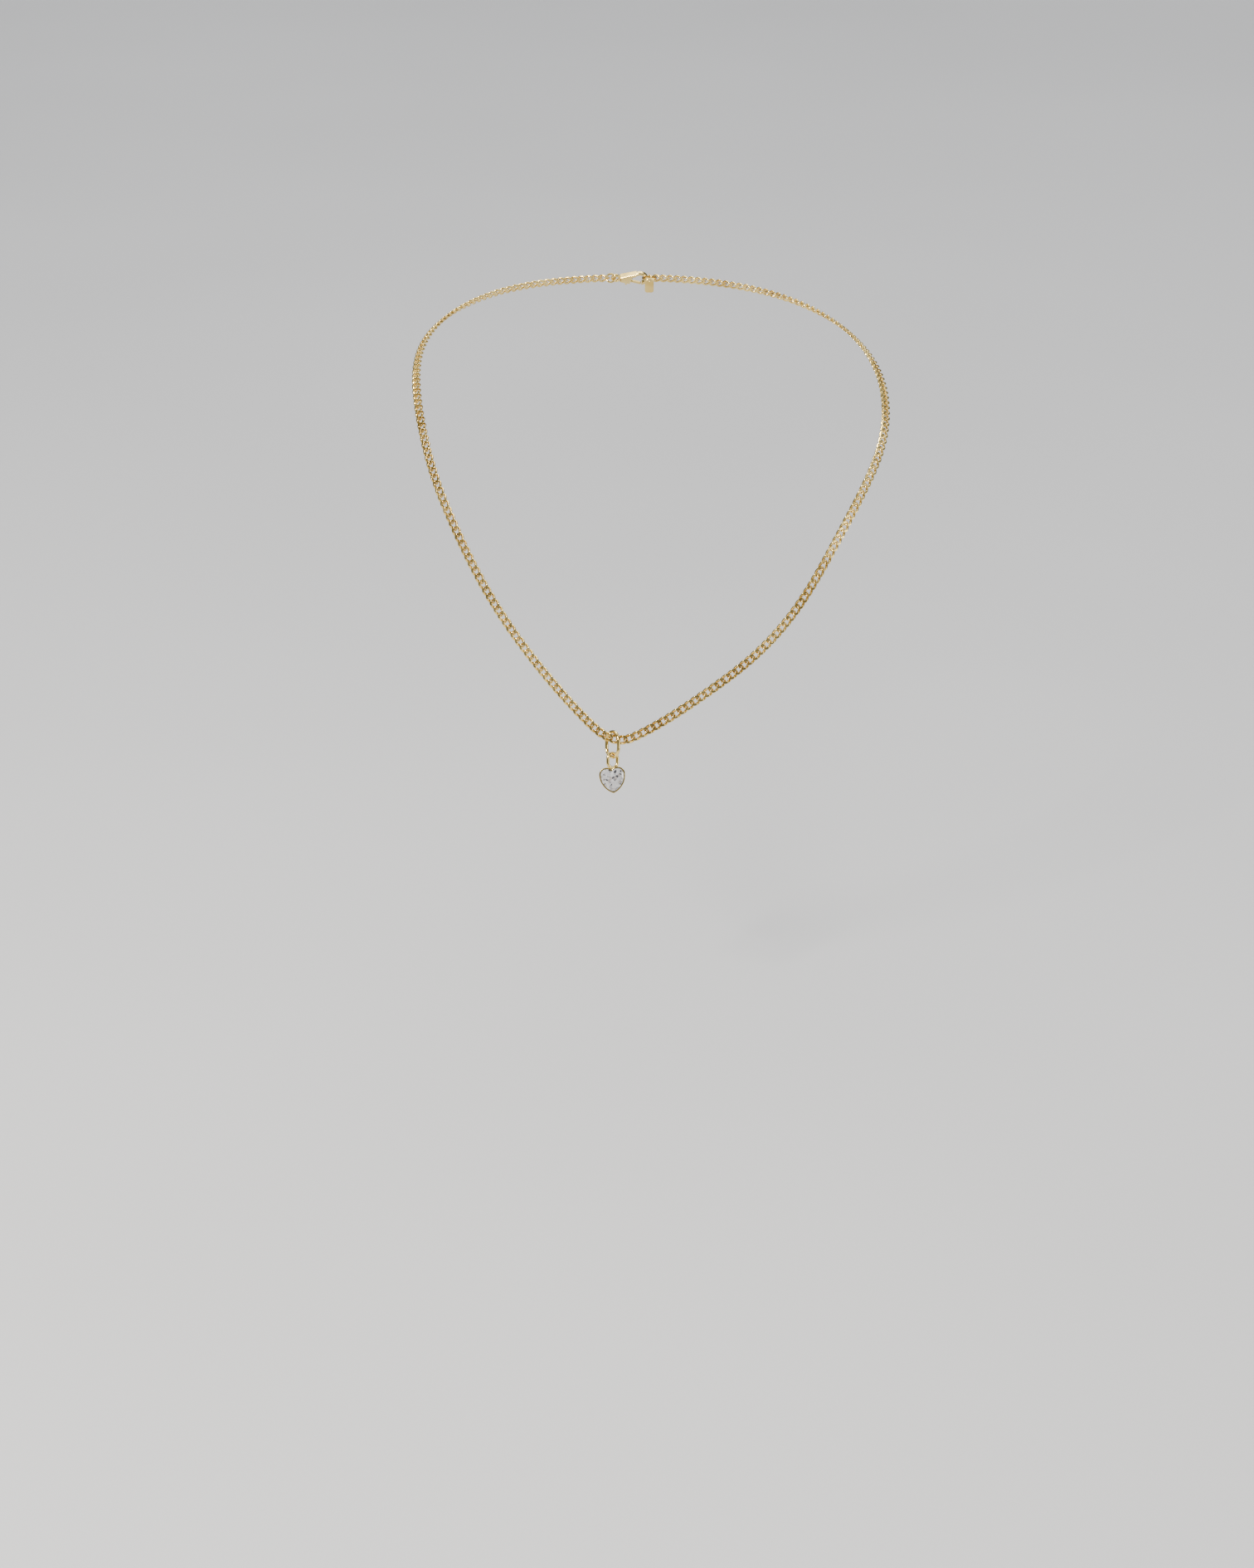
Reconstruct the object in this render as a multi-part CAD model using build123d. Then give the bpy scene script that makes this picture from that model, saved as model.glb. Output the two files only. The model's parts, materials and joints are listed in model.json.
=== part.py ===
from build123d import *
import os
from math import cos, hypot, pi, radians, sin, sqrt, tan

# A fine gold curb chain worn round a neck, with a small heart pendant on an oval bail.
# Millimetres. +Z is up, -Y is the wearer's front, +X is the viewer's right when facing
# the pendant. The origin is where the clasp rests on the nape of the neck.

os.makedirs("parts", exist_ok=True)

# ---- driving sizes: the chain -------------------------------------------------------
LINK_PITCH = 2.07          # link to link along the pulled chain
LINK_WIDTH = 2.60          # over the two long sides of a link
LINK_WIRE = 0.62           # wire diameter
LINK_PLAY = 0.11           # free travel where two links hook together
LINK_RISE = 0.40           # how far the twist lifts the wire off the link's own plane
LINK_CORNERS = 8           # bends in one link's wire
BEND_SHARE = 0.95          # share of each straight that its two bends use
RUNS_PER_SIDE = 16         # each strand is cut into this many runs, every one a node

# ---- driving sizes: the way the chain lies ------------------------------------------
# Both strands start at the bail and end at the clasp. The points are the chain's middle.
BAIL_SEAT = (-6.2, -120.3, -95.5)
LEFT_STRAND = [
    (-8.6, -119.8, -94.4),
    (-11.9, -118.7, -91.8),
    (-21.5, -114.3, -82.4),
    (-37.9, -104.3, -62.4),
    (-49.5, -92.9, -42.7),
    (-54.6, -84.3, -32.2),
    (-58.3, -73.4, -21.6),
    (-60.4, -58.5, -12.2),
    (-58.4, -40.0, -6.2),
    (-50.0, -22.0, -2.6),
    (-36.0, -8.6, -0.4),
    (-20.0, -1.4, 0.3),
    (-7.5, 0.8, 0.5),
]
RIGHT_STRAND = [
    (-2.5, -120.5, -95.95),
    (0.9, -120.05, -94.85),
    (7.3, -118.5, -91.8),
    (19.9, -114.6, -84.5),
    (33.1, -109.6, -75.5),
    (44.3, -103.5, -64.4),
    (55.8, -92.9, -47.9),
    (64.1, -82.3, -35.2),
    (68.2, -74.2, -27.6),
    (70.1, -62.0, -19.6),
    (67.5, -43.0, -12.0),
    (58.5, -24.0, -6.4),
    (42.5, -9.4, -2.2),
    (22.0, -1.6, 0.0),
    (6.2, 0.8, 0.5),
]
NECK_AXIS = (3.0, -58.0)   # where the neck's own axis stands
NECK_REACH = (62.0, 62.0)  # sideways and fore-and-aft reach of the worn loop about it
SHOULDER_TILT = 58.0       # degrees that the chain's flat face looks up on the shoulder
CHEST_TILT = 22.5          # and on the chest
NAPE_TILT = 30.0           # and on the nape

# ---- driving sizes: the pendant -----------------------------------------------------
PENDANT_SHIFT = 0.50       # to the right of the point where the two strands hook together
BAIL_WIRE = 0.95
BAIL_WIDTH = 6.20          # outside
BAIL_LENGTH = 7.80         # outside
BAIL_YAW = 52.0            # turned about its long axis, right limb to the front
BAIL_DROP = 1.70           # its middle below the middle of the chain
BAIL_FORWARD = -0.15       # its middle in front of the middle of the chain
EYELET_WIRE = 0.90
EYELET_WIDTH = 3.70
EYELET_LENGTH = 4.80
EYELET_YAW = -25.0
EYELET_DROP = 6.08         # its middle below the middle of the chain
HEART_WIDTH = 7.10
HEART_HEIGHT = 7.10
HEART_DROP = 11.40         # its middle below the middle of the chain
HEART_FORWARD = 0.30       # the stone's girdle in front of the chain's middle
HEART_ROLL = 5.0           # right lobe high
LOBE_RADIUS = 2.00
LOBE_END = 0.0             # degrees below level at which a lobe runs into its side
BEZEL_WALL = 0.28
BEZEL_DEPTH = 1.90         # below the girdle
BEZEL_LIP = 0.18           # above the girdle
BEZEL_ROUNDING = 0.12      # of the lip's outer edge
SEAT_WALL = 0.58           # the wall under the stone's seat
SEAT_DROP = 0.14           # the seat below the girdle
STONE_GAP = 0.02
GIRDLE = 0.16
CROWN = 0.68
TABLE_SHARE = 0.60
PAVILION = 1.72
CULET_SHARE = 0.08
BACK_PLATE = 0.30
BACK_INSET = 0.08
BACK_ROUNDING = 0.10
LIGHT_HOLE_INSET = 1.55

# ---- driving sizes: the clasp -------------------------------------------------------
CLASP_SEAT = (0.0, 0.8, 0.5)        # the clasp's middle, just clear of the skin
CLASP_THICK = 1.90
CLAW_THICK = 1.30
CLAW_START = 0.90                   # along the chain, where the thick root thins to the claw
CLAW_ROUNDING = 0.35
ROOT_ROUNDING = 0.20
CLASP_EYE = (-5.0, 1.05, 0.45)      # along the chain, middle radius, wire radius
CLASP_LENGTH = 12.0
CLASP_ROOT = (-3.4, 0.95)           # along the chain, radius
CLASP_NOSE = (2.0, 2.35)
CLASP_HOLE_NOSE = (2.02, 1.38)
CLASP_HOLE_ROOT = (0.35, 0.95)
CLASP_MOUTH = (-0.93, 0.80, 2.37, 2.70)     # low x, low y, high x, high y
GATE_SLOT = (-2.80, -0.25, -0.30, 2.65)     # the same
GATE_PIVOT = (-1.60, 0.75)
GATE_TIP = (1.95, 1.87)
GATE_THUMB = (-2.15, 2.20)
GATE_THICK = 0.70
GATE_ARM = 0.33                     # half the arm's width
GATE_HEEL = 0.62                    # radius about the pivot
GATE_THUMB_END = 0.28               # radius
GATE_ROUNDING = 0.10
GATE_OPEN = 28.0                    # degrees
GATE_STEPS = 4
GATE_SLOT_GAP = 0.06
RIVET_RADIUS = 0.28
RIVET_GAP = 0.04
CHEEK_GAP = 0.02
EYE_BITE = 0.02                     # how far the eye's wire runs into the body
SPRING_WIRE = 0.18
SPRING_POINTS = [(-2.70, -0.05, 0), (-1.30, -0.08, 0), (0.10, 0.72, 0)]
SPRING_BEND = 1.0
JUMP_RING = (-6.54, 1.27, 0.275)    # along the chain, middle radius, wire radius
JUMP_RING_LEAN = 25.0
END_RING = (4.72, 1.90, 0.35)
END_RING_LEAN = -30.0
TAG_RING = (0.90, 0.20)             # middle radius, wire radius
TAG_LENGTH = 6.0
TAG_WIDTH = 2.6
TAG_THICK = 0.35
TAG_HOLE = 0.55
TAG_MARGIN = 0.45
TAG_CORNER = 0.8
TAG_ROUNDING = 0.08
TAG_PLAY = 0.04


# ---- helpers ------------------------------------------------------------------------
def closed_wire(path, radius):
    """A solid of round wire along a closed path, without a joint face."""
    tube = sweep(Plane(path @ 0, z_dir=path % 0) * Circle(radius), path=path)
    skin = [face for face in tube.faces() if face.geom_type != GeomType.PLANE]
    return Solid(Shell(skin))


def bent_path(points):
    """A closed path of straights and tangent bends, each bend as large as fits."""
    radii = []
    for i, point in enumerate(points):
        before = points[i - 1] - point
        after = points[(i + 1) % len(points)] - point
        turn = radians(180 - before.get_angle(after))
        radii.append(0.5 * BEND_SHARE * min(before.length, after.length) / tan(turn / 2))
    return Wire(FilletPolyline(*points, radius=radii, close=True).edges())


def oval_ring(width, length, wire):
    """A ring of round wire with straight sides, lying in XY with its length along Y."""
    radius = (width - wire) / 2
    straight = (length - wire) / 2 - radius
    sides = [
        Line((radius, -straight), (radius, straight)),
        ThreePointArc((radius, straight), (0, straight + radius), (-radius, straight)),
        Line((-radius, straight), (-radius, -straight)),
        ThreePointArc((-radius, -straight), (0, -straight - radius), (radius, -straight)),
    ]
    return closed_wire(Wire([side.edge() for side in sides]), wire / 2)


def round_ring(middle_radius, wire_radius):
    """A ring of round wire about Z."""
    return Torus(middle_radius, wire_radius).solid()


def wafer(sketch, low, high):
    """A flat sketch in XY made solid between two heights."""
    return extrude(Plane.XY.offset(low) * sketch, high - low)


def rounded(plate, radius):
    """The same flat plate with the edges of its two faces rounded."""
    return fillet(plate.faces().filter_by(Axis.Z).edges(), radius)


# ---- one curb link ------------------------------------------------------------------
def link_path():
    """The wire's middle line: an oval whose long sides are twisted out of its plane."""
    half_length = (LINK_PITCH + LINK_WIRE + LINK_PLAY) / 2
    half_width = (LINK_WIDTH - LINK_WIRE) / 2
    plain = [Vector(*saddle_point(i, 1, 1, 1)) for i in range(LINK_CORNERS)]
    box = bent_path(plain).bounding_box()
    stretch = (half_length / box.max.X, half_width / box.max.Y, LINK_RISE / box.max.Z)
    return bent_path([Vector(*saddle_point(i, *stretch)) for i in range(LINK_CORNERS)])


def saddle_point(index, along, across, up):
    """One corner of the twisted oval."""
    turn = (index + 0.5) * 2 * pi / LINK_CORNERS
    return along * cos(turn), across * sin(turn), up * sin(2 * turn)


def facing(point):
    """Which way the chain's flat face looks where it lies on the chest, shoulder or nape."""
    side = (point.X - NECK_AXIS[0]) / NECK_REACH[0]
    fore = (point.Y - NECK_AXIS[1]) / NECK_REACH[1]
    far = min(abs(fore), 1.0)
    end_tilt = NAPE_TILT if fore > 0 else CHEST_TILT
    tilt = radians(SHOULDER_TILT + (end_tilt - SHOULDER_TILT) * far * far)
    length = hypot(side, fore)
    return Vector(cos(tilt) * side / length, cos(tilt) * fore / length, sin(tilt))


def link_place(start, end):
    """Where a link sits that hooks its neighbours at start and end."""
    along = (end - start).normalized()
    middle = (start + end) / 2
    return Plane(origin=middle, x_dir=along, z_dir=square_to(facing(middle), along))


def square_to(vector, along):
    """The part of a vector that is square to a unit direction."""
    return (vector - along * vector.dot(along)).normalized()


def strand_hooks():
    """The points where links hook together on each strand, from the bail to the clasp."""
    line = Spline(*reversed(LEFT_STRAND), BAIL_SEAT, *RIGHT_STRAND)
    seat = Vector(*BAIL_SEAT)
    left = evenly(line.trim(0, seat))
    return {"left": left[::-1], "right": evenly(line.trim(seat, 1))}


def evenly(line):
    """Points a link's pitch apart along a line, the pitch eased to end on a whole link."""
    count = round(line.length / LINK_PITCH)
    step = line.length / count
    return [line.position_at(i * step, position_mode=PositionMode.LENGTH) for i in range(count + 1)]


def split_runs(hooks):
    """Deals a strand's links out to its runs, the longer runs at the neck end."""
    links = len(hooks) - 1
    short, longer = divmod(links, RUNS_PER_SIDE)
    runs = []
    first = 0
    for run in range(RUNS_PER_SIDE):
        size = short + (run >= RUNS_PER_SIDE - longer)
        runs.append((first, first + size))
        first += size
    return runs


# ---- the pendant --------------------------------------------------------------------
def pendant_place(drop, forward=0.0):
    """A plane on the chest below the bail's seat, facing the front."""
    tilt = radians(CHEST_TILT)
    up = Vector(0, sin(tilt), cos(tilt))
    front = Vector(0, -cos(tilt), sin(tilt))
    seat = Vector(*BAIL_SEAT) + Vector(PENDANT_SHIFT, 0, 0)
    return Plane(origin=seat - up * drop + front * forward, x_dir=(1, 0, 0), z_dir=front)


def heart_sketch():
    """The bezel's outline: two round lobes and two long sides that meet in a point."""
    lobe_x = HEART_WIDTH / 2 - LOBE_RADIUS
    lobe_y = HEART_HEIGHT / 2 - LOBE_RADIUS
    cleft = (0, lobe_y + sqrt(LOBE_RADIUS**2 - lobe_x**2))
    top = (lobe_x, HEART_HEIGHT / 2)
    low = radians(LOBE_END)
    end = (lobe_x + LOBE_RADIUS * cos(low), lobe_y - LOBE_RADIUS * sin(low))
    lobe = ThreePointArc(cleft, (lobe_x + LOBE_RADIUS * sin(low), lobe_y + LOBE_RADIUS * cos(low)), end)
    side = TangentArc(end, (0, -HEART_HEIGHT / 2), tangent=(-sin(low), -cos(low)))
    half = [lobe.edge(), side.edge()]
    other = [edge.mirror(Plane.YZ) for edge in half]
    return Sketch() + make_face(Wire(half + other).edges())


def inset(sketch, amount):
    """The outline drawn in by an amount all round."""
    return offset(sketch, -amount, kind=Kind.ARC)


def heart_stone(girdle, gap):
    """A heart-cut stone: crown, girdle and pavilion. The gap draws it that much larger."""
    half = GIRDLE / 2 + gap
    rim = girdle if gap == 0 else offset(girdle, gap, kind=Kind.ARC)
    table = scale(rim, (TABLE_SHARE, TABLE_SHARE, 1))
    culet = scale(rim, (CULET_SHARE, CULET_SHARE, 1))
    band = wafer(rim, -half, half)
    crown = loft([Plane.XY.offset(half) * rim, Plane.XY.offset(half + CROWN) * table], ruled=True)
    pavilion = loft([Plane.XY.offset(-half - PAVILION) * culet, Plane.XY.offset(-half) * rim], ruled=True)
    return band + crown + pavilion


def heart_parts():
    """The heart's bezel, stone and back plate in the heart's own frame."""
    outline = heart_sketch()
    girdle = inset(outline, BEZEL_WALL)
    cup = wafer(outline, -BEZEL_DEPTH, BEZEL_LIP)
    cup -= wafer(inset(outline, SEAT_WALL), -BEZEL_DEPTH, -SEAT_DROP)
    cup -= heart_stone(girdle, STONE_GAP)
    lip = cup.faces().filter_by(Axis.Z).sort_by(Axis.Z)[-1]
    cup = fillet(lip.outer_wire().edges(), BEZEL_ROUNDING)
    plate = wafer(inset(outline, BACK_INSET), -BEZEL_DEPTH - BACK_PLATE, -BEZEL_DEPTH)
    plate = fillet(plate.faces().sort_by(Axis.Z)[0].edges(), BACK_ROUNDING)
    plate -= wafer(inset(outline, LIGHT_HOLE_INSET), -BEZEL_DEPTH - BACK_PLATE, -BEZEL_DEPTH)
    return {"heart_bezel": cup, "heart_stone": heart_stone(girdle, 0), "heart_back": plate}


# ---- the clasp ----------------------------------------------------------------------
def clasp_plane():
    """The clasp's own frame: X along the chain to the right, Z out from the neck."""
    tilt = radians(NAPE_TILT)
    return Plane(origin=CLASP_SEAT, x_dir=(1, 0, 0), z_dir=(0, cos(tilt), sin(tilt)))


def disc(centre, radius):
    """A flat disc at a place in the clasp's frame."""
    return Pos(centre[0], centre[1]) * Circle(radius)


def capsule(start, start_radius, end, end_radius):
    """Two discs and the straight-sided strip between them."""
    return make_hull((disc(start, start_radius) + disc(end, end_radius)).edges())


def block(low_x, low_y, high_x, high_y):
    """A rectangle between two corners."""
    centre = Pos((low_x + high_x) / 2, (low_y + high_y) / 2)
    return centre * Rectangle(high_x - low_x, high_y - low_y)


def gate_sketch():
    """The gate seen flat: an arm from the pivot to the tip, its heel and its thumb lever."""
    heel = disc(GATE_PIVOT, GATE_HEEL)
    arm = capsule(GATE_PIVOT, GATE_ARM, GATE_TIP, GATE_ARM)
    thumb = capsule(GATE_PIVOT, GATE_ARM, GATE_THUMB, GATE_THUMB_END)
    return heel + arm + thumb


def gate_sweep():
    """The room the gate's arm needs as it opens inwards."""
    pivot = Vector(*GATE_PIVOT)
    arm = Vector(*GATE_TIP) - pivot
    room = GATE_ARM + GATE_SLOT_GAP
    ends = disc(GATE_PIVOT, room)
    for step in range(GATE_STEPS + 1):
        tip = pivot + arm.rotate(Axis.Z, -GATE_OPEN * step / GATE_STEPS)
        ends += disc((tip.X, tip.Y), room)
    return make_hull(ends.edges())


def clasp_parts():
    """The lobster clasp in its own frame: cast body, gate and rivet."""
    half = CLASP_THICK / 2
    slot = GATE_THICK / 2 + GATE_SLOT_GAP
    pivot = Pos(*GATE_PIVOT)
    eye_x, eye_radius, eye_wire = CLASP_EYE
    shell = capsule((CLASP_ROOT[0], 0), CLASP_ROOT[1], (CLASP_NOSE[0], 0), CLASP_NOSE[1])
    hole_nose = (CLASP_HOLE_NOSE[0], 0)
    hole_root = (CLASP_HOLE_ROOT[0], 0)
    outline = shell - capsule(hole_nose, CLASP_HOLE_NOSE[1], hole_root, CLASP_HOLE_ROOT[1])
    claw = wafer(outline, -CLAW_THICK / 2, CLAW_THICK / 2)
    claw = rounded(claw, CLAW_ROUNDING)
    root_end = block(CLAW_START - CLASP_LENGTH, -CLASP_LENGTH, CLAW_START, CLASP_LENGTH)
    body = claw + rounded(wafer(outline & root_end, -half, half), ROOT_ROUNDING)
    body -= wafer(block(*CLASP_MOUTH), -half, half)
    body -= wafer(block(*GATE_SLOT), -slot, slot)
    body -= wafer(gate_sweep(), -slot, slot)
    body -= pivot * Cylinder(RIVET_RADIUS + CHEEK_GAP, 2 * CLASP_THICK)
    body -= wafer(disc((eye_x, 0), eye_radius + eye_wire - EYE_BITE), -half, half)
    body += Pos(eye_x, 0, 0) * round_ring(eye_radius, eye_wire)
    gate = rounded(wafer(gate_sketch(), -GATE_THICK / 2, GATE_THICK / 2), GATE_ROUNDING)
    gate -= pivot * Cylinder(RIVET_RADIUS + RIVET_GAP, CLASP_THICK)
    rivet = pivot * Cylinder(RIVET_RADIUS, CLASP_THICK)
    return {"clasp_body": body, "clasp_gate": gate, "clasp_rivet": rivet}


def gate_spring():
    """A bent leaf of spring wire between the body and the gate's heel."""
    start, bend, end = SPRING_POINTS
    path = FilletPolyline(start, bend, end, radius=SPRING_BEND)
    return sweep(Plane(path @ 0, z_dir=path % 0) * Circle(SPRING_WIRE / 2), path=path)


# ---- build and write ----------------------------------------------------------------
def write(node, shape, place=Plane.XY):
    """Writes one node's STEP file with the shape moved from its own frame to its place."""
    export_step(place.location * shape, f"parts/{node}.step")


def write_chain():
    """Each strand's runs of hooked links."""
    link = closed_wire(link_path(), LINK_WIRE / 2)
    for side, hooks in strand_hooks().items():
        print(side, "links", len(hooks) - 1, "pitch", round((hooks[1] - hooks[0]).length, 4))
        for number, (first, last) in enumerate(split_runs(hooks), 1):
            links = [link_place(hooks[i], hooks[i + 1]).location * link for i in range(first, last)]
            export_step(Compound(links), f"parts/chain_{side}_{number:02d}.step")


def write_pendant():
    """The bail, the eyelet and the heart's three pieces."""
    bail = oval_ring(BAIL_WIDTH, BAIL_LENGTH, BAIL_WIRE)
    write("bail", Rot(0, -BAIL_YAW, 0) * bail, pendant_place(BAIL_DROP, BAIL_FORWARD))
    heart_place = pendant_place(HEART_DROP, HEART_FORWARD)
    roll = Rot(0, 0, HEART_ROLL)
    for node, shape in heart_parts().items():
        write(node, roll * shape, heart_place)
    eyelet = Rot(0, -EYELET_YAW, 0) * oval_ring(EYELET_WIDTH, EYELET_LENGTH, EYELET_WIRE)
    outside = wafer(heart_sketch(), -BEZEL_DEPTH - BACK_PLATE, BEZEL_LIP)
    rise = Pos(0, HEART_DROP - EYELET_DROP, -HEART_FORWARD)
    write("heart_eyelet", rise * eyelet - roll * outside, heart_place)


def write_clasp():
    """The clasp, its jump ring, the end ring and the tag, all across the nape."""
    for node, shape in clasp_parts().items():
        write(node, shape, clasp_plane())
    ring_x, ring_radius, ring_wire = JUMP_RING
    jump_ring = Pos(ring_x, 0, 0) * Rot(90 + JUMP_RING_LEAN, 0, 0) * round_ring(ring_radius, ring_wire)
    write("jump_ring", jump_ring, clasp_plane())
    ring_x, ring_radius, ring_wire = END_RING
    end_ring = Pos(ring_x, 0, 0) * Rot(90 + END_RING_LEAN, 0, 0) * round_ring(ring_radius, ring_wire)
    write("end_ring", end_ring, clasp_plane())
    write("gate_spring", gate_spring(), clasp_plane())


def write_tag():
    """The blank tag and its ring, hung on the end ring."""
    ring_radius, ring_wire = TAG_RING
    hang = END_RING[2] + ring_wire + TAG_PLAY
    lean = radians(END_RING_LEAN)
    place = clasp_plane()
    wire_spot = Vector(END_RING[0], -END_RING[1] * sin(lean), END_RING[1] * cos(lean))
    ring_centre = wire_spot + Vector(0, ring_radius - hang, 0)
    write("tag_ring", Pos(*ring_centre) * Rot(0, 90, 0) * round_ring(ring_radius, ring_wire), place)
    hole_y = ring_radius + TAG_HOLE - ring_wire - TAG_PLAY
    plate = Pos(0, TAG_LENGTH / 2 - TAG_HOLE - TAG_MARGIN) * RectangleRounded(
        TAG_WIDTH, TAG_LENGTH, TAG_CORNER
    )
    tag = rounded(wafer(plate - Circle(TAG_HOLE), -TAG_THICK / 2, TAG_THICK / 2), TAG_ROUNDING)
    write("blank_tag", Pos(*ring_centre) * Pos(0, hole_y, 0) * tag, place)


def main():
    write_chain()
    write_pendant()
    write_clasp()
    write_tag()


main()
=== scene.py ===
import json
import math

import bmesh
import bpy
import numpy as np
from mathutils import Matrix, Vector


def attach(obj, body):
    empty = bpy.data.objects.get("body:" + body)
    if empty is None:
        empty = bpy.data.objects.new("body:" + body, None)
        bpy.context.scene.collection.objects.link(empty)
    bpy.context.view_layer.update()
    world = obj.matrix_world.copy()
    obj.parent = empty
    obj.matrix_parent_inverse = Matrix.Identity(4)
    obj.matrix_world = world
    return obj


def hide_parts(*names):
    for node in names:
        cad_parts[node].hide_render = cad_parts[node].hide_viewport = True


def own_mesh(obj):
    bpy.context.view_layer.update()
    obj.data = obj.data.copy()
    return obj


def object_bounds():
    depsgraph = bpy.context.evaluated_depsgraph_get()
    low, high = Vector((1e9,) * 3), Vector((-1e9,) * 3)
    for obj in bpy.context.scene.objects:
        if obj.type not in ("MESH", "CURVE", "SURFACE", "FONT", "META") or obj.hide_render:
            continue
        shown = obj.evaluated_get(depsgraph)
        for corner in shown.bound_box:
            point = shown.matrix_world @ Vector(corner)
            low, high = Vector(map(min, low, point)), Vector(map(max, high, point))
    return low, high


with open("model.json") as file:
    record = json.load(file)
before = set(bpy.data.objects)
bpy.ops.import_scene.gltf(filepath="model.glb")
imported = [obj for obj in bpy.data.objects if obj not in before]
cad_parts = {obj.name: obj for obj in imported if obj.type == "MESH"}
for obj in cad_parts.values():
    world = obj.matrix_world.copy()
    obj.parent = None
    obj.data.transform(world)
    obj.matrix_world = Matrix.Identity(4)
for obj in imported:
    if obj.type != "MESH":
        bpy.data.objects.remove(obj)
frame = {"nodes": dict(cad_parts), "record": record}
cad_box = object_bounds()

MM = 0.001

# ---- sizes, in millimetres, the same as the frame's ---------------------------------
LINK_HALF_LENGTH = 1.40    # of the wire's middle line
LINK_HALF_WIDTH = 0.99
LINK_RISE = 0.40
LINK_WIRE = 0.62
LINK_FLAT = 0.52           # the cut flats, above and below the link's middle plane
LINK_SWELL = 0.21          # how much wider, inwards, the pressed long sides are at their middle
SWELL_REACH = 0.78         # how far along the link the swelling runs from its middle
LINK_CORNERS = 8
LINK_STEPS = 9             # rings along the wire for each corner
LINK_SIDES = 20
LINK_SHARP = 32            # degrees; sharper edges of a link stay sharp

BAIL_SEAT = (-6.2, -120.3, -95.5)
PENDANT_SHIFT = 0.50
CHEST_TILT = 22.5
BAIL = {"wire": 0.95, "width": 6.20, "length": 7.80, "yaw": 52.0, "drop": 1.70, "forward": -0.15}
EYELET = {"wire": 0.90, "width": 3.70, "length": 4.80, "yaw": -25.0, "drop": 6.08, "forward": 0.0}
RING_STEPS = 120           # points round an oval ring before its straights are filled in
RING_SPACING = 0.12        # the largest step along its middle line
RING_SIDES = 28
RING_WORN = 0.02           # how much its inner side is worn
RING_SHARP = 40
HEART_DROP = 11.40
HEART_FORWARD = 0.30
HEART_ROLL = 5.0

# ---- the stone; a row of points is a share of the girdle's outline and a height ------
RIM_POINTS = 32
RIM_CLOSE = 0.12           # the CAD girdle's points lie this near its middle plane
RIM_MERGE = 0.02
STONE_CENTRE = (0.0, 0.12)
LOW_GIRDLE = (0.998, -0.08)
HIGH_GIRDLE = (0.998, 0.08)
STAR_ROW = (0.83, 0.42)
TABLE_ROW = (0.60, 0.76)
LOW_ROW = (0.56, -0.98)
KEEL_ROW = (0.10, -1.78)

# ---- the clasp's spring -------------------------------------------------------------
NAPE_TILT = 30.0
CLASP_SEAT = (0.0, 0.8, 0.5)
SPRING = [(-2.70, -0.05), (-2.20, -0.10), (-1.60, -0.10), (-1.15, 0.02), (-0.55, 0.35), (0.05, 0.68)]
SPRING_WIRE = 0.18
SPRING_SIDES = 12
SPRING_STEPS = 6           # rings for each straight of the leaf
SPRING_SMOOTH = 3          # rounds of smoothing at its bends
SPRING_END = 0.55          # the end rings' share of the wire's radius
SPRING_SHARP = 50

# ---- the camera and the floor -------------------------------------------------------
CAMERA_AIM = (-1.8, -125.0, -107.0)
CAMERA_DISTANCE = 1004.0
CAMERA_ELEVATION = 22.5
CAMERA_LENS = 85.0
CAMERA_SENSOR = 36.0       # height
FLOOR_DROP = 0.075         # metres below the pendant's lowest point
FLOOR_REACH = 6.0          # metres


# ---- materials ----------------------------------------------------------------------
def new_material(name):
    material = bpy.data.materials.new(name)
    material.use_nodes = True
    tree = material.node_tree
    return material, tree, tree.nodes["Principled BSDF"]


def colour_ramp(tree, stops):
    ramp = tree.nodes.new("ShaderNodeValToRGB")
    while len(ramp.color_ramp.elements) < len(stops):
        ramp.color_ramp.elements.new(0.5)
    for element, (position, colour) in zip(ramp.color_ramp.elements, stops):
        element.position = position
        element.color = colour
    return ramp


def colour_noise(tree, scale, detail, stops):
    """A noise in object space run through a colour ramp; returns its coordinates and the ramp."""
    where = tree.nodes.new("ShaderNodeTexCoord")
    noise = tree.nodes.new("ShaderNodeTexNoise")
    noise.inputs["Scale"].default_value = scale
    noise.inputs["Detail"].default_value = detail
    tree.links.new(where.outputs["Object"], noise.inputs["Vector"])
    ramp = colour_ramp(tree, stops)
    tree.links.new(noise.outputs["Fac"], ramp.inputs["Fac"])
    return where, ramp


def grey(value):
    return (value, value, value, 1.0)


def metal(name, dark, light, rough_low, rough_high, scale, bump, bump_scale):
    """Polished metal: a slow drift of colour, finer drift of gloss and faint polishing marks."""
    material, tree, shader = new_material(name)
    shader.inputs["Metallic"].default_value = 1.0
    where, tint = colour_noise(tree, scale, 3.0, [(0.35, dark), (0.65, light)])
    tree.links.new(tint.outputs["Color"], shader.inputs["Base Color"])
    _, gloss = colour_noise(tree, scale * 4, 4.0, [(0.35, grey(rough_low)), (0.70, grey(rough_high))])
    tree.links.new(gloss.outputs["Color"], shader.inputs["Roughness"])
    marks = tree.nodes.new("ShaderNodeTexNoise")
    marks.inputs["Scale"].default_value = bump_scale
    marks.inputs["Detail"].default_value = 5.0
    tree.links.new(where.outputs["Object"], marks.inputs["Vector"])
    bumps = tree.nodes.new("ShaderNodeBump")
    bumps.inputs["Strength"].default_value = bump
    bumps.inputs["Distance"].default_value = 0.00002
    tree.links.new(marks.outputs["Fac"], bumps.inputs["Height"])
    tree.links.new(bumps.outputs["Normal"], shader.inputs["Normal"])
    return material


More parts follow.
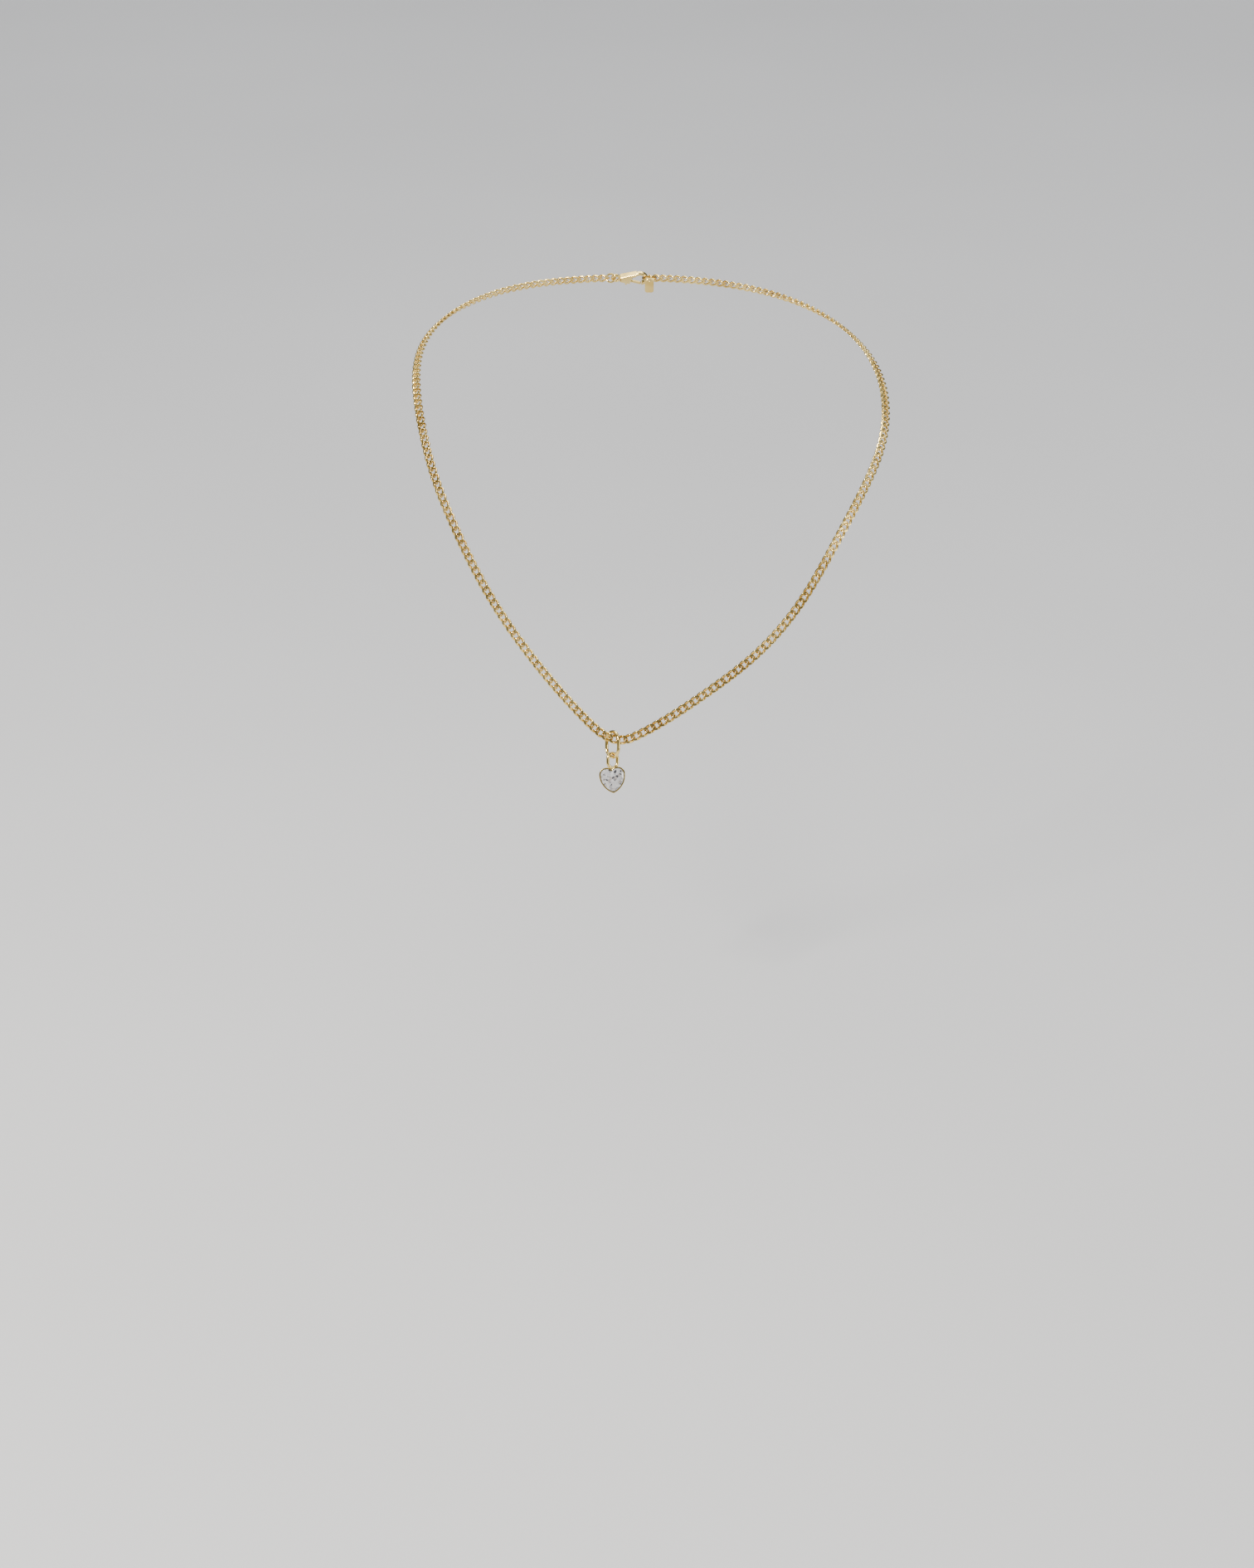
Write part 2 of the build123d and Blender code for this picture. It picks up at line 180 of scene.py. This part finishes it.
def clear_stone():
    """A clear cut stone with painted reflections: patches of light and dark the size of its facets,
    painted into its colour for the light its back throws.
    """
    material, tree, shader = new_material("clear_stone")
    where = tree.nodes.new("ShaderNodeTexCoord")
    painted_reflection_cells = tree.nodes.new("ShaderNodeTexVoronoi")
    painted_reflection_cells.inputs["Scale"].default_value = 1500.0
    tree.links.new(where.outputs["Object"], painted_reflection_cells.inputs["Vector"])
    # painted reflections: the dark, white and warm patches in the base colour stand in for light thrown
    # back by the facets
    stops = [(0.0, (0.06, 0.06, 0.07, 1)), (0.33, (0.45, 0.43, 0.44, 1)), (0.42, (0.92, 0.92, 0.95, 1)),
             (0.54, (1.0, 1.0, 1.0, 1)), (0.76, (0.70, 0.63, 0.58, 1))]
    tint = colour_ramp(tree, stops)
    tint.color_ramp.interpolation = "CONSTANT"
    tree.links.new(painted_reflection_cells.outputs["Color"], tint.inputs["Fac"])
    tree.links.new(tint.outputs["Color"], shader.inputs["Base Color"])
    _, gloss = colour_noise(tree, 900.0, 2.0, [(0.3, grey(0.0)), (0.7, grey(0.03))])
    tree.links.new(gloss.outputs["Color"], shader.inputs["Roughness"])
    shader.inputs["IOR"].default_value = 2.2
    shader.inputs["Transmission Weight"].default_value = 0.58
    shader.inputs["Coat Weight"].default_value = 0.5
    return material


CHAIN_TINTS = ((0.66, 0.45, 0.12, 1), (0.93, 0.71, 0.25, 1))
POLISHED_TINTS = ((0.70, 0.49, 0.14, 1), (0.95, 0.74, 0.29, 1))
STEEL_TINTS = ((0.52, 0.52, 0.53, 1), (0.74, 0.74, 0.75, 1))
GOLD_CHAIN = metal("gold_chain", *CHAIN_TINTS, 0.12, 0.26, 90, 0.12, 2600)
GOLD_POLISHED = metal("gold_polished", *POLISHED_TINTS, 0.08, 0.20, 110, 0.08, 2200)
SPRING_STEEL = metal("spring_steel", *STEEL_TINTS, 0.16, 0.30, 200, 0.15, 5000)
STONE = clear_stone()


# ---- mesh helpers -------------------------------------------------------------------
def mesh_object(name, vertices, faces, material, sharp=None):
    """A mesh piece; faces are smooth unless their edges are sharper than the angle."""
    mesh = bpy.data.meshes.new(name)
    mesh.from_pydata([tuple(v) for v in vertices], [], [tuple(f) for f in faces])
    mesh.materials.append(material)
    mesh.validate()
    for polygon in mesh.polygons:
        polygon.use_smooth = sharp is not None
    if sharp is not None:
        mesh.set_sharp_from_angle(angle=math.radians(sharp))
    piece = bpy.data.objects.new(name, mesh)
    bpy.context.scene.collection.objects.link(piece)
    return piece


def closed_tube(centres, radius, sides):
    """Rings of points round a closed middle line, and the faces between them."""
    tangents = np.roll(centres, -1, axis=0) - np.roll(centres, 1, axis=0)
    tangents /= np.linalg.norm(tangents, axis=1)[:, None]
    up = np.array([0.0, 0.0, 1.0])
    across = np.cross(tangents, up)
    across /= np.linalg.norm(across, axis=1)[:, None]
    over = np.cross(across, tangents)
    turns = np.arange(sides) * 2 * math.pi / sides
    rings = (
        centres[:, None, :]
        + radius * np.cos(turns)[None, :, None] * across[:, None, :]
        + radius * np.sin(turns)[None, :, None] * over[:, None, :]
    )
    return rings.reshape(-1, 3), tube_faces(len(centres), sides)


def tube_faces(count, sides):
    faces = []
    for i in range(count):
        for j in range(sides):
            near = i * sides
            far = (i + 1) % count * sides
            side = (j + 1) % sides
            faces.append((near + j, far + j, far + side, near + side))
    return faces


def closed_curve(corners, steps):
    """A smooth closed line drawn by a square B-spline over its corners."""
    points = []
    count = len(corners)
    for i in range(count):
        a, b, c = corners[i - 1], corners[i], corners[(i + 1) % count]
        start, end = (a + b) / 2, (b + c) / 2
        for step in range(steps):
            t = step / steps
            points.append((1 - t) ** 2 * start + 2 * t * (1 - t) * b + t * t * end)
    return np.array(points)


# ---- the chain ----------------------------------------------------------------------
def link_shape():
    """One curb link in its own frame: a twisted oval of round wire with cut flats."""
    corners = []
    for i in range(LINK_CORNERS):
        turn = (i + 0.5) * 2 * math.pi / LINK_CORNERS
        corners.append((math.cos(turn), math.sin(turn), math.sin(2 * turn)))
    corners = np.array(corners)
    reach = np.abs(closed_curve(corners, LINK_STEPS)).max(axis=0)
    corners *= np.array([LINK_HALF_LENGTH, LINK_HALF_WIDTH, LINK_RISE]) / reach
    middle = closed_curve(corners, LINK_STEPS)
    vertices, faces = closed_tube(middle, LINK_WIRE / 2, LINK_SIDES)
    core = np.repeat(middle, LINK_SIDES, axis=0)
    side = np.sign(core[:, 1])
    inward = np.clip(side * (core[:, 1] - vertices[:, 1]) / (LINK_WIRE / 2), 0, 1)
    share = np.clip(1 - (vertices[:, 0] / SWELL_REACH) ** 2, 0, 1) ** 2
    vertices[:, 1] -= side * inward * share * LINK_SWELL
    vertices[:, 2] = np.clip(vertices[:, 2], -LINK_FLAT, LINK_FLAT)
    return vertices * MM, faces


def separate_solids(mesh):
    """The vertex numbers of each unconnected solid in a mesh, in a fixed order."""
    parent = list(range(len(mesh.vertices)))

    def root(i):
        while parent[i] != i:
            parent[i] = parent[parent[i]]
            i = parent[i]
        return i

    places = {}
    for vertex in mesh.vertices:
        key = tuple(round(c, 7) for c in vertex.co)
        if key in places:
            parent[root(vertex.index)] = root(places[key])
        places[key] = vertex.index
    for edge in mesh.edges:
        a, b = root(edge.vertices[0]), root(edge.vertices[1])
        if a != b:
            parent[a] = b
    groups = {}
    for i in range(len(mesh.vertices)):
        groups.setdefault(root(i), []).append(i)
    return sorted(groups.values(), key=lambda group: group[0])


def link_frames(mesh):
    """Each link's middle and its long, wide and thin directions, from its own surface."""
    owner = {}
    groups = separate_solids(mesh)
    for number, group in enumerate(groups):
        for i in group:
            owner[i] = number
    mesh.calc_loop_triangles()
    areas = [[] for _ in groups]
    spots = [[] for _ in groups]
    for triangle in mesh.loop_triangles:
        number = owner[triangle.vertices[0]]
        corners = [mesh.vertices[i].co for i in triangle.vertices]
        areas[number].append(triangle.area)
        spots[number].append(sum(corners, Vector()) / 3)
    frames = []
    for weight, spot in zip(areas, spots):
        weight = np.array(weight)
        spot = np.array(spot, float)
        middle = (spot * weight[:, None]).sum(axis=0) / weight.sum()
        away = spot - middle
        spread = (away * weight[:, None]).T @ away
        _, directions = np.linalg.eigh(spread)
        along, across = directions[:, 2], directions[:, 1]
        frames.append((middle, np.array([along, across, np.cross(along, across)])))
    return frames


def build_chain():
    link, link_faces = link_shape()
    link_faces = np.array(link_faces)
    body_of_node = {}
    for body, nodes in frame["record"]["behaviour"]["bodies"].items():
        for node in nodes:
            body_of_node[node] = body
    for node in sorted(frame["nodes"]):
        if not node.startswith("chain_"):
            continue
        vertices, faces = [], []
        for number, (middle, axes) in enumerate(link_frames(frame["nodes"][node].data)):
            vertices.append(link @ axes + middle)
            faces.append(link_faces + number * len(link))
        surface = np.concatenate(faces).tolist()
        piece = mesh_object(node + "_links", np.concatenate(vertices), surface, GOLD_CHAIN, LINK_SHARP)
        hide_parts(node)
        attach(piece, body_of_node[node])


# ---- the pendant --------------------------------------------------------------------
def pendant_matrix(drop, forward, turn_y=0.0, turn_z=0.0):
    """A frame on the chest below the seat: X to the viewer's right, Y up the chest, Z to the front."""
    tilt = math.radians(CHEST_TILT)
    up = Vector((0, math.sin(tilt), math.cos(tilt)))
    front = Vector((0, -math.cos(tilt), math.sin(tilt)))
    seat = Vector(BAIL_SEAT) + Vector((PENDANT_SHIFT, 0, 0))
    origin = (seat - up * drop + front * forward) * MM
    place = Matrix((Vector((1, 0, 0)), up, front)).transposed().to_4x4()
    place.translation = origin
    about_y = Matrix.Rotation(math.radians(turn_y), 4, "Y")
    about_z = Matrix.Rotation(math.radians(turn_z), 4, "Z")
    return place @ about_y @ about_z


def ring_piece(name, node, body, ring):
    """A soldered oval ring of drawn wire, its inside worn a little flat by what hangs in it."""
    radius = (ring["width"] - ring["wire"]) / 2
    straight = (ring["length"] - ring["wire"]) / 2 - radius
    points = []
    for i in range(RING_STEPS):
        turn = (i + 0.5) * 2 * math.pi / RING_STEPS
        x, y = radius * math.cos(turn), radius * math.sin(turn)
        points.append((x, y + math.copysign(straight, y), 0.0))
    dense = []
    for i, point in enumerate(points):
        after = points[(i + 1) % len(points)]
        steps = max(1, round(math.dist(point, after) / RING_SPACING))
        for step in range(steps):
            t = step / steps
            dense.append([point[k] + (after[k] - point[k]) * t for k in range(3)])
    vertices, faces = closed_tube(np.array(dense), ring["wire"] / 2, RING_SIDES)
    inner = np.hypot(vertices[:, 0], np.maximum(np.abs(vertices[:, 1]) - straight, 0))
    limit = radius - ring["wire"] / 2 + RING_WORN
    near = inner < limit
    push = limit / np.maximum(inner, 1e-9)
    vertices[near, 0] *= push[near]
    past = np.abs(vertices[:, 1]) > straight
    bend = near & past
    vertices[bend, 1] = np.sign(vertices[bend, 1]) * (
        straight + (np.abs(vertices[bend, 1]) - straight) * push[bend]
    )
    piece = mesh_object(name, vertices * MM, faces, GOLD_POLISHED, RING_SHARP)
    piece.matrix_world = pendant_matrix(ring["drop"], ring["forward"], -ring["yaw"])
    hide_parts(node)
    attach(piece, body)


def stone_outline(count):
    """The stone's girdle in the heart's own frame, at even steps, from the CAD stone."""
    place = pendant_matrix(HEART_DROP, HEART_FORWARD, 0.0, HEART_ROLL)
    back = place.inverted()
    local = [back @ v.co for v in frame["nodes"]["heart_stone"].data.vertices]
    rim = [v for v in local if abs(v.z) < RIM_CLOSE * MM]
    rim.sort(key=lambda v: math.atan2(v.y, v.x))
    ring = []
    for v in rim:
        if not ring or math.dist((v.x, v.y), ring[-1]) > RIM_MERGE * MM:
            ring.append((v.x, v.y))
    turned = np.array(ring)
    closed = np.vstack([turned, turned[:1]])
    steps = np.concatenate([[0], np.cumsum(np.hypot(*np.diff(closed, axis=0).T))])
    lowest = int(np.argmin(turned[:, 1]))
    wanted = (steps[lowest] + np.arange(count) * steps[-1] / count) % steps[-1]
    return np.column_stack([np.interp(wanted, steps, closed[:, k]) for k in (0, 1)]), place


def faceted_stone():
    """Table, star and kite facets above the girdle; two rows of long facets to a keel below."""
    rim, place = stone_outline(RIM_POINTS)
    centre = np.array(STONE_CENTRE) * MM
    vertices, faces = [], []

    def ring(points, row):
        share, height = row
        first = len(vertices)
        for x, y in points:
            px, py = (np.array([x, y]) - centre) * share + centre
            vertices.append((px, py, height * MM))
        return list(range(first, first + len(points)))

    def wall(low, high):
        for i in range(len(low)):
            after = (i + 1) % len(low)
            faces.append((low[i], low[after], high[after], high[i]))

    def gather(wide, narrow):
        """Facets from a row of points to one with half as many."""
        for i in range(len(narrow)):
            a, b, c = (wide[(2 * i + k) % len(wide)] for k in (-1, 0, 1))
            tip = narrow[i]
            after = narrow[(i + 1) % len(narrow)]
            faces.extend([(a, b, tip), (b, c, tip), (tip, c, after)])

    low_girdle = ring(rim, LOW_GIRDLE)
    high_girdle = ring(rim, HIGH_GIRDLE)
    wall(low_girdle, high_girdle)
    mid = ring(rim[0::2], STAR_ROW)
    gather(high_girdle, mid)
    table = ring(rim[0::4], TABLE_ROW)
    gather(mid, table)
    faces.append(tuple(table))
    low_mid = ring(rim[0::2], LOW_ROW)
    first = len(faces)
    gather(low_girdle, low_mid)
    keel = ring(rim[0::4], KEEL_ROW)
    gather(low_mid, keel)
    faces.append(tuple(keel))
    for i in range(first, len(faces)):
        faces[i] = faces[i][::-1]
    piece = mesh_object("heart_stone_cut", vertices, faces, STONE)
    tidy = bmesh.new()
    tidy.from_mesh(piece.data)
    bmesh.ops.recalc_face_normals(tidy, faces=tidy.faces)
    tidy.to_mesh(piece.data)
    tidy.free()
    piece.matrix_world = place
    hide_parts("heart_stone")
    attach(piece, "heart")


# ---- the gate's spring --------------------------------------------------------------
def clasp_matrix():
    tilt = math.radians(NAPE_TILT)
    out = Vector((0, math.cos(tilt), math.sin(tilt)))
    along = Vector((1, 0, 0))
    place = Matrix((along, out.cross(along), out)).transposed().to_4x4()
    place.translation = Vector(CLASP_SEAT) * MM
    return place


def leaf_spring():
    """A bent length of drawn wire with rounded ends."""
    place = clasp_matrix()
    points = [np.array((x, y, 0.0)) for x, y in SPRING]
    sides, vertices, faces = SPRING_SIDES, [], []
    rings = []
    for i in range(len(points) - 1):
        for step in range(SPRING_STEPS):
            rings.append((points[i] * (SPRING_STEPS - step) + points[i + 1] * step) / SPRING_STEPS)
    rings.append(points[-1])
    for _ in range(SPRING_SMOOTH):
        rings = [rings[0]] + [
            (rings[i - 1] + 2 * rings[i] + rings[i + 1]) / 4 for i in range(1, len(rings) - 1)
        ] + [rings[-1]]
    for number, centre in enumerate(rings):
        after = rings[min(number + 1, len(rings) - 1)]
        before = rings[max(number - 1, 0)]
        tangent = (after - before) / np.linalg.norm(after - before)
        side = np.array([-tangent[1], tangent[0], 0.0])
        end = min(number, len(rings) - 1 - number)
        radius = SPRING_WIRE / 2 * (SPRING_END if end == 0 else 1.0)
        for j in range(sides):
            turn = 2 * math.pi * j / sides
            outward = math.cos(turn) * side + math.sin(turn) * np.array([0.0, 0.0, 1.0])
            vertices.append(centre + radius * outward)
    for i in range(len(rings) - 1):
        for j in range(sides):
            k = (j + 1) % sides
            faces.append((i * sides + j, i * sides + k, (i + 1) * sides + k, (i + 1) * sides + j))
    faces.append(tuple(range(sides))[::-1])
    last = (len(rings) - 1) * sides
    faces.append(tuple(range(last, last + sides)))
    piece = mesh_object("gate_spring_leaf", np.array(vertices) * MM, faces, SPRING_STEEL, SPRING_SHARP)
    piece.matrix_world = place
    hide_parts("gate_spring")
    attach(piece, "nape")
    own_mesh(piece)


# ---- CAD nodes that stay as they are, in their own metal ----------------------------
def dress_nodes():
    for node in ("heart_bezel", "heart_back", "clasp_body", "clasp_gate", "clasp_rivet",
                 "jump_ring", "end_ring", "tag_ring", "blank_tag"):
        cad = frame["nodes"][node]
        for number in range(len(cad.material_slots)):
            cad.material_slots[number].material = GOLD_POLISHED


# ---- floor, light and camera --------------------------------------------------------
def soft_light(name, spot, target, size, power, colour=(1, 1, 1)):
    light = bpy.data.lights.new(name, "AREA")
    light.shape = "RECTANGLE"
    light.size, light.size_y = size
    light.energy = power
    light.color = colour
    holder = bpy.data.objects.new(name, light)
    bpy.context.scene.collection.objects.link(holder)
    holder.location = spot
    holder.rotation_euler = (Vector(target) - Vector(spot)).to_track_quat("-Z", "Y").to_euler()


def build_stage():
    low = cad_box[0][2] - FLOOR_DROP
    floor_material, tree, shader = new_material("studio_floor")
    _, tint = colour_noise(tree, 3.0, 2.0, [(0.3, grey(0.52)), (0.7, grey(0.55))])
    tree.links.new(tint.outputs["Color"], shader.inputs["Base Color"])
    shader.inputs["Roughness"].default_value = 0.75
    reach = FLOOR_REACH
    corners = [(-reach, -reach, low), (reach, -reach, low), (reach, reach, low), (-reach, reach, low)]
    floor = mesh_object("floor", corners, [(0, 1, 2, 3)], floor_material)
    world = bpy.data.worlds.new("studio")
    world.use_nodes = True
    back = world.node_tree.nodes["Background"]
    back.inputs["Color"].default_value = (0.86, 0.90, 1.0, 1)
    back.inputs["Strength"].default_value = 0.26
    bpy.context.scene.world = world
    aim = Vector(CAMERA_AIM) * MM
    soft_light("key", (-0.50, -0.80, 0.70), aim, (0.24, 0.24), 24.0, (1.0, 0.96, 0.90))
    soft_light("fill", (0.90, -0.55, 0.15), aim, (0.35, 0.5), 3.0)
    soft_light("rim", (0.10, 0.60, 0.80), aim, (0.5, 0.2), 2.2, (0.95, 0.97, 1.0))
    overhead = [(0.0, 1.6, 60.0), (-1.8, 0.3, 26.0), (1.8, 0.3, 26.0)]
    for number, (x, y, power) in enumerate(overhead):
        soft_light(f"far_floor_{number}", (x, y, 2.6), (x, y + 0.01, low), (2.0, 2.0), power)


def build_camera():
    elevation = math.radians(CAMERA_ELEVATION)
    aim = Vector(CAMERA_AIM) * MM
    away = Vector((0, -math.cos(elevation), math.sin(elevation)))
    data = bpy.data.cameras.new("camera")
    data.lens = CAMERA_LENS
    data.sensor_fit = "VERTICAL"
    data.sensor_height = CAMERA_SENSOR
    data.clip_start = 0.01
    data.clip_end = 20.0
    camera = bpy.data.objects.new("camera", data)
    bpy.context.scene.collection.objects.link(camera)
    camera.location = aim + away * CAMERA_DISTANCE * MM
    camera.rotation_euler = (-away).to_track_quat("-Z", "Y").to_euler()
    bpy.context.scene.camera = camera


build_chain()
ring_piece("bail_ring", "bail", "bail", BAIL)
ring_piece("heart_eyelet_ring", "heart_eyelet", "heart", EYELET)
faceted_stone()
leaf_spring()
dress_nodes()
build_stage()
build_camera()
